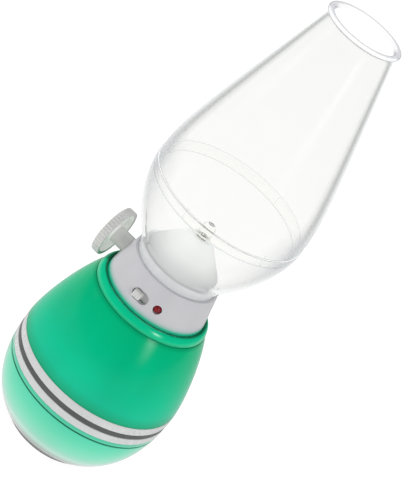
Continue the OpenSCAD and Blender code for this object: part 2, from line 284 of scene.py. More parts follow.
class Surface:
    """A material with a Principled shader, and short ways to drive it with patterns."""

    def __init__(self, name, color, rough=0.4, **sockets):
        self.material = bpy.data.materials.new(name)
        self.material.use_nodes = True
        self.tree = self.material.node_tree
        self.nodes, self.links = self.tree.nodes, self.tree.links
        self.shader = self.nodes["Principled BSDF"]
        self.base = color
        self.set("Base Color", (*color, 1))
        self.set("Roughness", rough)
        for socket, value in sockets.items():
            self.set(socket.replace("_", " ").title().replace("Ior", "IOR"), value)

    def set(self, socket, value):
        self.shader.inputs[socket].default_value = value

    def add(self, kind, **settings):
        node = self.nodes.new(kind)
        for key, value in settings.items():
            setattr(node, key, value)
        return node

    def place(self, scale=(1, 1, 1)):
        """Object coordinates in metres, scaled along each axis."""
        mapping = self.add("ShaderNodeMapping")
        mapping.inputs["Scale"].default_value = scale
        self.links.new(self.add("ShaderNodeTexCoord").outputs["Object"], mapping.inputs["Vector"])
        return mapping.outputs["Vector"]

    def noise(self, size, detail=3.0, roughness=0.5, stretched=(1, 1, 1)):
        """Noise whose features are about size millimetres across."""
        node = self.add("ShaderNodeTexNoise")
        node.inputs["Scale"].default_value = 1 / (size * MM)
        node.inputs["Detail"].default_value = detail
        node.inputs["Roughness"].default_value = roughness
        self.links.new(self.place(stretched), node.inputs["Vector"])
        return node.outputs["Fac"]

    def height(self, low, high, axis="Z"):
        """0 at the height low and 1 at the height high, both in millimetres."""
        split = self.add("ShaderNodeSeparateXYZ")
        self.links.new(self.place(), split.inputs["Vector"])
        return self.between(split.outputs[axis], low * MM, high * MM, 0, 1)

    def between(self, value, from_low, from_high, low, high):
        """A value mapped from one range to another, and clamped to it."""
        node = self.add("ShaderNodeMapRange")
        self.links.new(value, node.inputs["Value"])
        for socket, number in zip(("From Min", "From Max", "To Min", "To Max"),
                                  (from_low, from_high, low, high)):
            node.inputs[socket].default_value = number
        return node.outputs["Result"]

    def math(self, operation, a, b):
        return math_node(self.tree, operation, a, b)

    def ramp(self, fac, stops):
        """Colour ramp with stops (place, (red, green, blue))."""
        node = self.add("ShaderNodeValToRGB")
        points = node.color_ramp.elements
        while len(points) < len(stops):
            points.new(0.5)
        for point, (at, color) in zip(points, stops):
            point.position = at
            point.color = (*color, 1)
        self.links.new(fac, node.inputs["Fac"])
        return node.outputs["Color"]

    def mix(self, fac, a, b, blend="MIX"):
        node = self.add("ShaderNodeMix", data_type="RGBA", blend_type=blend)
        for socket, value in zip((node.inputs[0], node.inputs[6], node.inputs[7]), (fac, a, b)):
            if isinstance(value, (int, float)):
                socket.default_value = value
            elif isinstance(value, tuple):
                socket.default_value = (*value, 1)
            else:
                self.links.new(value, socket)
        return node.outputs[2]

    def facing(self, blend=0.5):
        """0 where a surface is seen square on, 1 where the view runs along it. Glass only."""
        node = self.add("ShaderNodeLayerWeight")
        node.inputs["Blend"].default_value = blend
        return node.outputs["Facing"]

    def outside(self, color, within=(0.985, 0.985, 0.98)):
        """A colour where the surface is seen from outside, and another one from within."""
        return self.mix(self.add("ShaderNodeNewGeometry").outputs["Backfacing"], color, within)

    def color(self, socket):
        self.links.new(socket, self.shader.inputs["Base Color"])

    def mottle(self, amount, size, detail=3.0, stretched=(1, 1, 1)):
        """Base colour that drifts by amount, lighter and darker, over patches of a size."""
        dark = tuple(c * (1 - amount) for c in self.base)
        light = tuple(min(1.0, c * (1 + amount)) for c in self.base)
        self.color(self.ramp(self.noise(size, detail, stretched=stretched),
                             [(0.3, dark), (0.7, light)]))

    def rough(self, fac, low, high):
        self.links.new(self.between(fac, 0.3, 0.7, low, high), self.shader.inputs["Roughness"])

    def bump(self, fac, depth, strength=1.0):
        """Relief of a depth in millimetres."""
        node = self.add("ShaderNodeBump")
        node.inputs["Strength"].default_value = strength
        node.inputs["Distance"].default_value = depth * MM
        self.links.new(fac, node.inputs["Height"])
        self.links.new(node.outputs["Normal"], self.shader.inputs["Normal"])

    def let_light_through(self, tint=(0.97, 0.98, 0.98)):
        """Lamps' and scattered light passes straight through, as through a thin clear wall, and
        so does light that the wall would mirror inside itself."""
        clear = self.add("ShaderNodeBsdfTransparent")
        clear.inputs["Color"].default_value = (*tint, 1)
        either = self.add("ShaderNodeMixShader")
        output = self.nodes["Material Output"]
        path = self.add("ShaderNodeLightPath").outputs
        scattered = self.math("MAXIMUM", path["Is Shadow Ray"], path["Is Diffuse Ray"])
        inside = self.math("GREATER_THAN", path["Transmission Depth"], 0.5)
        mirrored = self.math("GREATER_THAN", path["Is Glossy Ray"], path["Is Transmission Ray"])
        trapped = self.math("MULTIPLY", inside, mirrored)
        passing = self.math("MAXIMUM", scattered, trapped)
        self.links.new(passing, either.inputs[0])
        self.links.new(self.shader.outputs["BSDF"], either.inputs[1])
        self.links.new(clear.outputs["BSDF"], either.inputs[2])
        self.links.new(either.outputs["Shader"], output.inputs["Surface"])


def green_plastic(name="green_plastic", gloss=0.12, sheen=0.18):
    """Deep green, opaque in place of translucent: paler towards the band and lighter on the lip.
    Its darker edge by the band, the soft dark line under the lip and the dark line where the lip
    meets the collar are painted shade."""
    s = Surface(name, (0.003, 0.5, 0.24), 0.14, specular_ior_level=gloss, sheen_weight=sheen,
                sheen_roughness=0.35, sheen_tint=(0.35, 1, 0.75, 1))
    low, high = box("upper_shell")[0].z, box("trim_ring")[1].z
    height = s.height(low, high)
    # The darkest stops, by the band and where the lip meets the collar, are painted shade.
    shade = s.ramp(height, [
        (0.0, (0.006, 0.28, 0.14)), (0.03, (0.012, 0.38, 0.2)), (0.13, (0.006, 0.5, 0.28)),
        (0.3, (0.0, 0.51, 0.27)), (0.5, (0.0, 0.48, 0.235)), (0.8, (0.0, 0.455, 0.2)),
        (0.9, (0.0, 0.45, 0.19)), (0.94, (0.0, 0.54, 0.26)), (0.995, (0.0, 0.56, 0.28)),
        (0.9975, (0.0, 0.17, 0.08)), (1.0, (0.0, 0.17, 0.08))])
    # Painted shade: a soft dark line in the crease under the lip.
    groove = s.ramp(height, [
        (0.86, (1, 1, 1)), (0.897, (0.74,) * 3), (0.912, (0.78,) * 3), (0.935, (1, 1, 1))])
    clouds = s.ramp(s.noise(16, 2, stretched=(1, 1, 0.6)), [(0.3, (0.95,) * 3), (0.7, (1.04,) * 3)])
    s.color(s.mix(1.0, s.mix(1.0, shade, clouds, "MULTIPLY"), groove, "MULTIPLY"))
    s.rough(s.noise(2.5, 5), 0.11, 0.17)
    s.bump(s.noise(9, 2), 0.02)
    return s.material


def pale_green_plastic(name="pale_green_plastic", sheen=1.0):
    """Pale green, opaque in place of translucent. Its whitening towards the foot is painted light
    from the bright floor. Its dark very bottom with grey just above, the fine dark line in the
    groove near its top and the grey above that line are painted shade."""
    s = Surface(name, (0.2, 0.75, 0.48), 0.16, specular_ior_level=0.12, sheen_weight=sheen,
                sheen_roughness=0.35, sheen_tint=(1, 1, 1, 1))
    height = s.height(box("lower_shell")[0].z, box("lower_shell")[1].z)
    # Whiter low down is painted light from the floor; the dark and grey stops at the bottom are
    # painted shade.
    shade = s.ramp(height, [
        (0.0, (0.02, 0.025, 0.02)), (0.095, (0.02, 0.025, 0.02)), (0.13, (0.13, 0.17, 0.15)),
        (0.2, (0.22, 0.32, 0.27)), (0.3, (0.42, 0.68, 0.57)), (0.38, (0.31, 0.65, 0.51)),
        (0.46, (0.235, 0.67, 0.48)), (0.58, (0.185, 0.68, 0.47)), (0.74, (0.125, 0.66, 0.43)),
        (0.9, (0.09, 0.63, 0.4)), (1.0, (0.08, 0.6, 0.38))])
    # Painted shade: the dark line in the groove near the top, and grey above it up to the band.
    line = s.ramp(height, [
        (0.91, (1, 1, 1)), (0.917, (0.03, 0.2, 0.13)), (0.935, (0.03, 0.2, 0.13)),
        (0.943, (0.92, 0.94, 0.94)), (1.0, (0.86, 0.86, 0.86))])
    s.color(s.mix(1.0, shade, line, "MULTIPLY"))
    s.rough(s.noise(2.5, 5), 0.12, 0.2)
    s.bump(s.noise(9, 2), 0.02)
    return s.material


def white_plastic():
    s = Surface("white_plastic", (0.6, 0.605, 0.605), 0.25, specular_ior_level=0.4)
    s.mottle(0.03, 7)
    s.rough(s.noise(1.2, 6), 0.2, 0.32)
    s.bump(s.noise(0.35, 3), 0.004)
    return s.material


def grey_plastic():
    s = Surface("grey_plastic", (0.078, 0.08, 0.081), 0.38)
    s.mottle(0.12, 5)
    s.rough(s.noise(0.8, 6), 0.32, 0.46)
    s.bump(s.noise(0.25, 3), 0.006)
    return s.material


def collar_plastic():
    """Very pale lavender grey with a satin skin. The green tint at its foot stands in for the
    light that the shell throws on it."""
    s = Surface("collar_plastic", (0.55, 0.545, 0.57), 0.36, specular_ior_level=0.4)
    drift = s.ramp(s.noise(9), [(0.3, (0.535, 0.53, 0.555)), (0.7, (0.565, 0.56, 0.585))])
    low, tint_height = box("trim_ring")[1].z, 2.6
    tint = s.ramp(s.height(low, low + tint_height), [
        (0.0, (0.02, 0.95, 0.5)), (0.22, (0.04, 0.95, 0.55)), (0.4, (0.5, 0.95, 0.8)),
        (0.65, (0.85, 0.97, 0.92)), (1.0, (1, 1, 1))])
    s.color(s.mix(1.0, drift, tint, "MULTIPLY"))
    s.rough(s.noise(1.5, 6), 0.3, 0.44)
    s.bump(s.noise(0.3, 4), 0.006)
    return s.material


def spigot_top_plastic():
    """Top edge of the collar inside the chimney. It is lighter towards the lamp's back, with a
    glow that stands in for the light it catches there."""
    s = Surface("spigot_top", (0.8, 0.8, 0.8), 0.45, emission_strength=0.45)
    darkest_y, lightest_y = -8, 3
    back = s.height(darkest_y, lightest_y, "Y")
    s.color(s.ramp(back, [(0.0, (0.66, 0.66, 0.67)), (1.0, (0.88, 0.88, 0.88))]))
    s.links.new(s.ramp(back, [(0.0, (0.0, 0.0, 0.0)), (1.0, (1, 1, 1))]),
                s.shader.inputs["Emission Color"])
    s.rough(s.noise(1.5, 5), 0.4, 0.5)
    s.bump(s.noise(0.5, 3), 0.01)
    return s.material


def knob_plastic(name="knob_plastic", glow=0.0):
    """Pale moulded plastic. The glow stands in for light that bounces about in its hollows."""
    s = Surface(name, (0.64, 0.635, 0.62), 0.38, specular_ior_level=0.4, emission_strength=glow,
                emission_color=(0.62, 0.64, 0.6, 1))
    s.mottle(0.04, 4)
    s.rough(s.noise(1.0, 6), 0.32, 0.46)
    s.bump(s.noise(0.3, 4), 0.008)
    return s.material


def slider_plastic():
    s = Surface("slider_plastic", (0.64, 0.64, 0.625), 0.42)
    s.mottle(0.03, 1.5)
    s.rough(s.noise(0.5, 5), 0.36, 0.5)
    s.bump(s.noise(0.2, 4), 0.008)
    return s.material


# The clear plastic's index is below the real 1.49, so that the thin wall hardly bends its view.
CLEAR_IOR = 1.12
BOWL_IOR = 1.04


def clear_plastic(name="clear_plastic", ior=CLEAR_IOR):
    """Clear polished plastic, as it is on the inside of the chimney's wall."""
    s = Surface(name, (0.99, 0.99, 0.985), 0.01, transmission_weight=1.0, ior=ior)
    s.mottle(0.005, 12)
    s.rough(s.noise(3, 5), 0.0, 0.03)
    s.bump(s.noise(14, 1), 0.01)
    s.let_light_through()
    return s.material


def clear_wall_plastic(name="clear_wall", ior=CLEAR_IOR):
    """Outer face of the clear wall: darker where the view runs along it, and near the seam. This
    darkening is painted shade, standing in for the darker surroundings that a real wall bends
    into view.
    """
    body, edge, foot = (0.77, 0.775, 0.75), (0.3, 0.302, 0.29), (0.79, 0.79, 0.78)
    foot_z, seam = 90, box("chimney_bowl")[1].z
    s = Surface(name, body, 0.01, transmission_weight=1.0, ior=ior)
    facing = s.facing()
    wall = s.ramp(facing, [
        (0.0, body), (0.48, body), (0.57, (0.57, 0.575, 0.56)), (0.64, edge), (0.7, edge),
        (0.78, (0.5, 0.51, 0.52)), (0.86, (0.85, 0.85, 0.86)), (0.93, (1.0, 1.0, 1.0))])
    near = s.ramp(s.height(seam - 22, seam + 18), [
        (0.1, (0, 0, 0)), (0.42, (1, 1, 1)), (0.7, (1, 1, 1)), (0.95, (0, 0, 0))])
    near = s.math("MULTIPLY", near, s.between(facing, 0.3, 0.58, 0, 0.7))
    wall = s.mix(near, wall, (0.36, 0.37, 0.39))
    towards_foot = s.between(s.height(foot_z, seam), 0, 1, 0.85, 0)
    s.color(s.outside(s.mix(towards_foot, wall, foot)))
    s.rough(s.noise(3, 5), 0.06, 0.12)
    s.bump(s.noise(14, 1), 0.01)
    s.let_light_through()
    return s.material


def clear_seam_plastic():
    """Rounded clear edges that show as a soft grey line, as where the chimney's halves meet."""
    s = Surface("clear_seam", (0.4, 0.4, 0.41), 0.05, transmission_weight=1.0, ior=CLEAR_IOR)
    grey = s.ramp(s.noise(5), [(0.3, (0.25, 0.25, 0.26)), (0.7, (0.45, 0.45, 0.46))])
    s.color(s.outside(grey))
    s.rough(s.noise(3, 5), 0.0, 0.05)
    s.let_light_through()
    return s.material


def clear_lip_plastic():
    """The lip at the chimney's mouth: clear, with a lavender-grey line of painted shade along its
    edges, where the view runs along it.
    """
    s = Surface("clear_lip", (0.95, 0.95, 0.96), 0.01, transmission_weight=1.0, ior=CLEAR_IOR)
    s.color(s.outside(s.ramp(s.facing(), [
        (0.0, (0.92, 0.92, 0.92)), (0.55, (0.84, 0.84, 0.86)), (0.78, (0.25, 0.24, 0.29)),
        (1.0, (0.1, 0.09, 0.14))])))
    s.rough(s.noise(3, 5), 0.0, 0.03)
    s.let_light_through()
    return s.material


def clear_led():
    s = Surface("clear_led", (0.98, 0.98, 0.965), 0.03, transmission_weight=1.0, ior=1.17)
    s.mottle(0.01, 1.2)
    s.rough(s.noise(0.6, 4), 0.01, 0.06)
    s.let_light_through((0.95, 0.95, 0.92))
    return s.material


def diffuser_plastic():
    """Frosted white, greyer at its foot, where the collar stops the light. Its faint glow
    stands in for the light that it scatters inside."""
    s = Surface("diffuser_plastic", (0.88, 0.88, 0.87), 0.5, specular_ior_level=0.3,
                emission_strength=0.12, emission_color=(1, 1, 1, 1))
    foot_z, clear_z = 86, 96
    foot = s.ramp(s.height(foot_z, clear_z), [
        (0.05, (0.64, 0.64, 0.65)), (0.35, (0.76, 0.76, 0.76)), (0.62, (0.92, 0.92, 0.91)),
        (1.0, (0.99, 0.99, 0.98))])
    clouds = s.ramp(s.noise(6), [(0.3, (0.98,) * 3), (0.7, (1, 1, 1))])
    s.color(s.mix(1.0, foot, clouds, "MULTIPLY"))
    s.rough(s.noise(0.6, 5), 0.44, 0.6)
    s.bump(s.noise(0.25, 3), 0.01)
    return s.material


def red_led():
    s = Surface("red_led", (0.2, 0.008, 0.014), 0.3, specular_ior_level=0.3)
    s.mottle(0.2, 0.9)
    s.rough(s.noise(0.5, 4), 0.25, 0.38)
    return s.material


def speckled(name, color, amount, size, low, high, depth, metallic=0.0, stretched=(1, 1, 1),
             **sockets):
    """Plain moulded, cast or plated surface: drifting colour, varied gloss and a fine grain."""
    s = Surface(name, color, low, metallic=metallic, **sockets)
    s.mottle(amount, size, 4, stretched)
    s.rough(s.noise(size / 3, 6, stretched=stretched), low, high)
    s.bump(s.noise(size / 8, 3, stretched=stretched), depth)
    return s.material


def circuit_board():
    """Green solder mask with paler copper tracks under it."""
    s = Surface("circuit_board", (0.02, 0.2, 0.08), 0.3, coat_weight=0.5)
    tracks = s.add("ShaderNodeTexBrick")
    tracks.inputs["Scale"].default_value = 1 / (7 * MM)
    tracks.inputs["Mortar Size"].default_value = 0.03
    for socket, shade in (("Color1", (0.012, 0.13, 0.05)), ("Color2", (0.016, 0.15, 0.06)),
                          ("Mortar", (0.06, 0.34, 0.13))):
        tracks.inputs[socket].default_value = (*shade, 1)
    s.links.new(s.place(), tracks.inputs["Vector"])
    s.color(tracks.outputs["Color"])
    s.rough(s.noise(1.5, 5), 0.22, 0.38)
    s.bump(tracks.outputs["Fac"], 0.03)
    return s.material


MATERIALS = {material.name.split(".")[0]: material for material in (
    green_plastic(),
    green_plastic("green_lip", 0.32, 0.0),
    pale_green_plastic(),
    pale_green_plastic("pale_green_foot", 0.25),
    white_plastic(),
    grey_plastic(),
    collar_plastic(),
    # The spigot's plastic is a lighter copy of the collar's: painted light where the chimney's
    # skirt covers it.
    speckled("spigot_painted_light", (0.74, 0.74, 0.76), 0.03, 4, 0.4, 0.5, 0.01),
    spigot_top_plastic(),
    knob_plastic(),
    knob_plastic("knob_hollow", 0.42),
    knob_plastic("knob_hub", 0.12),
    slider_plastic(),
    clear_plastic(),
    clear_wall_plastic(),
    clear_plastic("clear_bowl", BOWL_IOR),
    clear_wall_plastic("bowl_wall", BOWL_IOR),
    clear_seam_plastic(),
    clear_lip_plastic(),
    clear_led(),
    diffuser_plastic(),
    red_led(),
    circuit_board(),
    speckled("black_rubber", (0.03, 0.03, 0.03), 0.2, 3, 0.7, 0.9, 0.02),
    speckled("dark_plastic", (0.05, 0.05, 0.055), 0.12, 5, 0.45, 0.6, 0.015),
    speckled("black_plastic", (0.05, 0.05, 0.05), 0.15, 3, 0.45, 0.6, 0.01),
    # The switch body's light grey and its glow are painted light that lifts the shade inside the
    # switch's slot.
    speckled("switch_plastic", (0.55, 0.55, 0.54), 0.1, 3, 0.45, 0.6, 0.01,
             emission_color=(0.8, 0.8, 0.8, 1), emission_strength=0.2),
    speckled("inner_white_plastic", (0.75, 0.75, 0.72), 0.04, 8, 0.45, 0.6, 0.015),
    speckled("white_board", (0.8, 0.8, 0.78), 0.03, 4, 0.25, 0.4, 0.01),
    speckled("screw_steel", (0.55, 0.56, 0.58), 0.15, 1.2, 0.28, 0.45, 0.01, 1.0),
    speckled("ballast_iron", (0.2, 0.2, 0.21), 0.25, 4, 0.5, 0.75, 0.08, 0.9),
    speckled("nickel_strip", (0.6, 0.6, 0.58), 0.1, 2, 0.25, 0.4, 0.005, 1.0, (4, 1, 1)),
    speckled("socket_shell", (0.62, 0.62, 0.63), 0.1, 1.5, 0.2, 0.35, 0.004, 1.0),
    speckled("shaft_steel", (0.6, 0.6, 0.6), 0.12, 1.5, 0.2, 0.35, 0.006, 1.0, (6, 1, 1)),
    speckled("capsule_aluminium", (0.6, 0.6, 0.62), 0.08, 1.5, 0.3, 0.45, 0.006, 1.0),
    speckled("cell_sleeve", (0.05, 0.15, 0.42), 0.06, 6, 0.2, 0.32, 0.01, coat_weight=0.5),
    speckled("wire_sleeve", (0.4, 0.03, 0.03), 0.1, 2, 0.35, 0.5, 0.01),
    speckled("led_phosphor", (0.85, 0.7, 0.25), 0.08, 1, 0.3, 0.5, 0.01),
)}


def paint_nodes():
    """Give each CAD node the material of its slot in the record."""
    slots = {row["node"]: row["material_slot"] for row in frame["record"]["subparts"]}
    for name, node in frame["nodes"].items():
        if not node.material_slots:
            node.data.materials.append(None)
        for slot in node.material_slots:
            slot.link = "OBJECT"
            slot.material = MATERIALS[slots[name]]


def settle(piece, body, slot, *nodes, material=None):
    """Finish a piece: its material, the body it rides on and the CAD nodes it stands for."""
    piece.data.materials.clear()
    piece.data.materials.append(material or MATERIALS[slot])
    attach(piece, body)
    if nodes:
        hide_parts(*nodes)
    return piece


# ---- Driving sizes, read from the frame ----

belly_r = box("band_ring")[1].x
belly_z = 33.0                          # height at which the base is widest
band_z = box("lower_shell")[1].z
band_top = box("upper_shell")[0].z
shell_top = box("upper_shell")[1].z
rim_z = box("lower_shell")[0].z
stripe_low = box("stripe_ring")[0].z
stripe_high = box("stripe_ring")[1].z
trim_top = box("trim_ring")[1].z
neck_z = box("collar")[1].z - 3.6       # step on which the chimney's skirt stands
bowl_r = box("chimney_bowl")[1].x
bowl_z = 89.0                           # height at which the neck opens into the bowl
seam_z = box("chimney_bowl")[1].z
rim_top = box("chimney_flue")[1].z
shell_wall = 2.0
clear_wall = 1.6
mouth_r = 14.0                          # outer radius of the lip at the chimney's mouth
controls_z = box("switch_slider")[0].z + 1.3
light_angle = -67                       # the red light's place round the collar, in degrees
screw_angles = (30, 150, 270)
screw_circle_r = 11.8

low_curve = [(18.7, 0.5), (belly_r + 0.2, 10.3), (belly_r, belly_z - 8), (belly_r, belly_z)]
up_curve = [(belly_r, belly_z), (belly_r, belly_z + 8.5), (26, 62.5), (21, 68.7)]
skirt_r = 16.8
neck_curve = [(skirt_r, neck_z + 1.6), (skirt_r, neck_z + 3.9), (17.3, neck_z + 4.7),
              (18.4, bowl_z)]
bowl_curve = [(18.4, bowl_z), (28, 101), (bowl_r, seam_z - 4), (bowl_r, seam_z)]
flue_r = bowl_r - 0.3
flue_top = rim_top - 2.5
flue_curve = [(flue_r, seam_z), (flue_r, seam_z + 12.7), (27, seam_z + 18.5),
              (mouth_r - 1.1, flue_top)]


# ---- Base ----

def make_foot():
    """Rubber ring with two fine grooves round its sole."""
    low, high = box("rubber_foot")
    inner, outer = 14.3, high.x
    groove = 0.14
    corners = [(inner, high.z), (inner, low.z, 0.35)]
    for at in (inner + 0.75, inner + 1.35):
        corners += [(at - 0.1, low.z, 0.03), (at - 0.1, low.z + groove, 0.03),
                    (at + 0.1, low.z + groove, 0.03), (at + 0.1, low.z, 0.03)]
    corners += [(outer, low.z, 0.35), (outer, high.z)]
    settle(lathe("foot_ring", rounded(corners)), "base", "black_rubber", "rubber_foot")


def make_sole():
    """Dark base plate: rounded edge, a raised hub, and three sunk holes for the screws."""
    low, high = box("base_plate")
    plug_r = 16.9
    disc = lathe("sole_plate", rounded([
        (0, low.z), (7.6, low.z, 0.2), (8.0, low.z + 0.25, 0.15), (9.2, low.z + 0.25, 0.15),
        (9.6, low.z, 0.2), (14.2, low.z, 0.1), (14.2, low.z + 0.75), (16.6, low.z + 0.75),
        (16.6, low.z, 0.1), (high.x, low.z, 0.5), (high.x, rim_z, 0.1), (plug_r, rim_z),
        (plug_r, high.z, 0.3), (0, high.z)]))
    cutters = []
    for angle in screw_angles:
        hole = lathe("hole", rounded([(0, low.z - 0.4), (2.55, low.z - 0.4), (2.1, low.z + 0.3),
                                      (2.1, 1.8), (1.15, 1.8), (1.15, 4), (0, 4)]), 40)
        cutters.append(on_screw_circle(hole, angle))
    settle(cut(disc, cutters), "base", "dark_plastic", "base_plate")


def make_lower_shell():
    """Pale green bowl with a fine groove under its upper edge."""
    groove_z, groove_h, groove_d = 24.42, 0.55, 0.3
    inner_z, ledge_z, ledge_r = 4.8, 3.2, 16.95
    foot_z = 4.4
    turn_r = radius_at(low_curve, band_z - 0.9)
    outer = stretch(low_curve, rim_z, groove_z, 0, 40)
    under = radius_at(low_curve, groove_z)
    over = radius_at(low_curve, groove_z + groove_h)
    corners = [(*outer[0], 0.2)] + outer[1:-1] + [
        (under, groove_z, 0.12), (under - groove_d, groove_z, 0.08),
        (over - groove_d, groove_z + groove_h, 0.08), (over, groove_z + groove_h, 0.12),
        (turn_r, band_z - 0.9), (radius_at(low_curve, band_z), band_z, 0.15)]
    corners += stretch(low_curve, inner_z, band_z, shell_wall, 24)[::-1]
    corners += [(15, inner_z), (15, ledge_z), (ledge_r, ledge_z), (ledge_r, rim_z)]
    shell = lathe("shell_low", rounded(corners), 200)
    settle(shell, "base", "pale_green_plastic", "lower_shell")
    paint_faces(shell, "pale_green_foot", lambda at: at.z < foot_z)


def make_band():
    """White ring that joins the two shells, with a groove for the stripe."""
    edge = 0.12
    lower = stretch(low_curve, band_z, stripe_low - 0.05, 0, 4)
    upper = stretch(up_curve, belly_z, band_top, 0, 4)
    floor_r = belly_r - 0.8
    corners = [(*lower[0], edge)] + lower[1:-1] + [
        (*lower[-1], edge), (floor_r, stripe_low - 0.05), (floor_r, stripe_high + 0.05),
        (belly_r, stripe_high + 0.05, edge)] + upper[:-1] + [
        (*upper[-1], edge), (29.2, band_top), (29.2, band_top + 2.5), (27.6, band_top + 2.5),
        (27.6, band_z - 3.6), (29.25, band_z - 3.6), (29.25, band_z)]
    settle(lathe("band", rounded(corners), 200), "base", "white_plastic", "band_ring")


def make_stripe():
    """Dark grey ring with rounded edges that lies in the band's groove."""
    outer = box("stripe_ring")[1].x
    inner = belly_r - 0.75
    settle(lathe("stripe", rounded([(inner, stripe_low), (outer, stripe_low, 0.25),
                                    (outer, stripe_high, 0.25), (inner, stripe_high)]), 200),
           "base", "grey_plastic", "stripe_ring")


def make_upper_shell():
    """Deep green shell from the band up to the collar's hole."""
    outer = stretch(up_curve, band_top, shell_top, 0, 40)
    inner = stretch(up_curve, band_top, shell_top - 2, shell_wall, 24)[::-1]
    hole_r = 20.4
    corners = ([(*outer[0], 0.15)] + outer[1:-1] + [(*outer[-1], 0.12), (hole_r, shell_top),
                                                    (hole_r, shell_top - 2)] + inner)
    settle(lathe("shell_top", rounded(corners), 200), "base", "green_plastic", "upper_shell")


def make_lip():
    """Rounded green lip that covers the collar's flange."""
    inner = 20.05
    outer = radius_at(up_curve, shell_top)
    low = box("trim_ring")[0].z
    side = [(outer - 0.22, low), (outer + 0.12, low + 1.2), (outer - 0.8, trim_top - 0.35),
            (outer - 1.7, trim_top - 0.12)]
    outline = [bez(side, i / 18) for i in range(19)]
    top = rounded([(outer - 1.7, trim_top - 0.12), (outer - 1.9, trim_top), (inner, trim_top, 0.1),
                   (inner, 67.25), (21.65, 67.25), (21.65, low)])[1:]
    settle(lathe("lip", outline + top, 200), "base", "green_plastic", "trim_ring",
           material=MATERIALS["green_lip"])


# ---- Collar and controls ----

def make_collar():
    """Tapered collar with its openings, the spigot under the chimney and the inner legs."""
    low_r, top_r = 19.85, 16.9
    foot_z, flange_z = 69.4, 67.2
    spigot_r, top = 15.5, box("collar")[1].z
    lamp_z = 83.0
    wall = 1.8
    bore_in, bore_out = 14, 23
    light_hole_r, shaft_hole_r = 1.62, 3.55
    shell = lathe("collar_shell", rounded([
        (18.2, 60, 0.2), (20.2, 60, 0.2), (20.2, 66.4), (21.6, 66.4, 0.1), (21.6, flange_z, 0.1),
        (low_r, flange_z), (low_r, foot_z), (top_r, neck_z, 0.25), (spigot_r, neck_z),
        (spigot_r, top, 0.4), (13.95, top, 0.15), (13.95, lamp_z), (12.8, lamp_z), (12.8, 81.8),
        (15.3, 81.8), (low_r - wall, foot_z), (18.2, 66)]), 240)
    slot = moved(stadium("slot", 6.8, 4.0, bore_in, bore_out), 0, 0, controls_z * MM)
    usb_low, usb_high = box("usb_socket")
    port = stadium("port", 8.4, 3.5, -bore_in, -bore_out)
    moved(port, 0, 0, (usb_low.z + usb_high.z) / 2 * MM)
    light = lathe("light_hole", [(0, bore_in), (light_hole_r, bore_in), (light_hole_r, bore_out),
                                 (0, bore_out)], 48)
    turn_mesh(light, towards(light_angle, controls_z))
    knob_low, knob_high = box("dimmer_knob")
    shaft = lathe("shaft_hole", [(0, bore_in), (shaft_hole_r, bore_in), (shaft_hole_r, bore_out),
                                 (0, bore_out)], 64)
    turn_mesh(shaft, towards(180, (knob_low.z + knob_high.z) / 2))
    cut(shell, [slot, port, light, shaft], 0.22)
    leg_outline = rounded([(1, 6.8), (2.4, 6.8, 0.2), (2.4, 66), (1, 66)])
    legs = [on_screw_circle(lathe("leg", leg_outline, 32), angle) for angle in screw_angles]
    settle(shell, "base", "collar_plastic", "collar")
    # The spigot gets a lighter copy of the collar's plastic: painted light under the chimney's
    # skirt.
    paint_faces(shell, "spigot_painted_light", lambda at: neck_z + 0.1 < at.z and at.xy.length > 15)
    paint_faces(shell, "spigot_top", lambda at: top - 0.3 < at.z)
    settle(join(legs[0], legs[1:]), "base", "collar_plastic").name = "collar_legs"


def make_slider():
    """Rounded thumb piece of the switch with three shallow grip grooves."""
    low, high = box("switch_slider")
    cap = block("thumb", low, (high.x, low.y + 3.4, high.z), 0.42, 4)
    stem = block("stem", (low.x + 0.4, low.y + 3.0, low.z + 0.4),
                 (high.x - 0.4, high.y, high.z - 0.4))
    middle = (low.x + high.x) / 2
    cuts = [block("groove", (middle + x - 0.13, low.y - 1, low.z - 1),
                  (middle + x + 0.13, low.y + 0.16, high.z + 1), 0.03) for x in (-0.8, 0, 0.8)]
    cut(cap, cuts)
    settle(join(cap, [stem]), "slider", "slider_plastic", "switch_slider").name = "slider_cap"


def make_charge_light():
    """Red light: a domed lens with a flange behind the collar's wall."""
    dome = [(0, 14.6), (1.7, 14.6, 0.1), (1.7, 15.4, 0.1), (1.5, 15.4)]
    outline = rounded(dome) + arc(0, 17.55, 1.5, 0, 90, 12)
    lens = turn_mesh(lathe("red_light", outline, 48), towards(light_angle, controls_z))
    settle(lens, "base", "red_led", "charge_led")


def make_knob():
    """Dimmer knob: a ridged rim, hollow on the lamp's side, on a hub that flares into it."""
    low, high = box("dimmer_knob")
    axis_z = (low.z + high.z) / 2
    radius = (high.z - low.z) / 2
    face, back = -low.x, 24.1
    floor = back + 2.2
    hub_end = 17.0
    ridges, groove = 48, 0.45

    def ripple(r, angle):
        if r < radius - groove - 0.12:
            return r
        wave = 0.5 + 0.5 * math.cos(ridges * angle)
        notch = min(1.0, max(0.0, (0.62 - wave) / 0.4))
        return min(r, radius - groove * notch)

    rim = rounded([
        (0, face - 0.4), (radius - 1.9, face - 0.4, 0.25), (radius - 1.6, face, 0.2),
        (radius, face, 0.35), (radius, back, 0.35), (radius - 1.5, back, 0.3),
        (radius - 1.5, floor, 0.5), (4.15, floor, 0.2), (3.25, floor - 1.6, 0.8),
        (3.25, hub_end, 0.2), (0, hub_end)], 6)
    knob = lathe("knob", rim, 576, ripple, 50)
    turn = Matrix.Translation((0, 0, axis_z * MM)) @ Matrix.Rotation(math.radians(-90), 4, "Y")
    settle(turn_mesh(knob, turn), "knob", "knob_plastic", "dimmer_knob")
    paint_faces(knob, "knob_hollow", lambda at: -floor - 0.1 < at.x < -back - 0.1
                and math.hypot(at.y, at.z - axis_z) < radius - 1.4)
    paint_faces(knob, "knob_hub", lambda at: at.x > -back
                and math.hypot(at.y, at.z - axis_z) < radius - 2)
    knob.visible_glossy = False


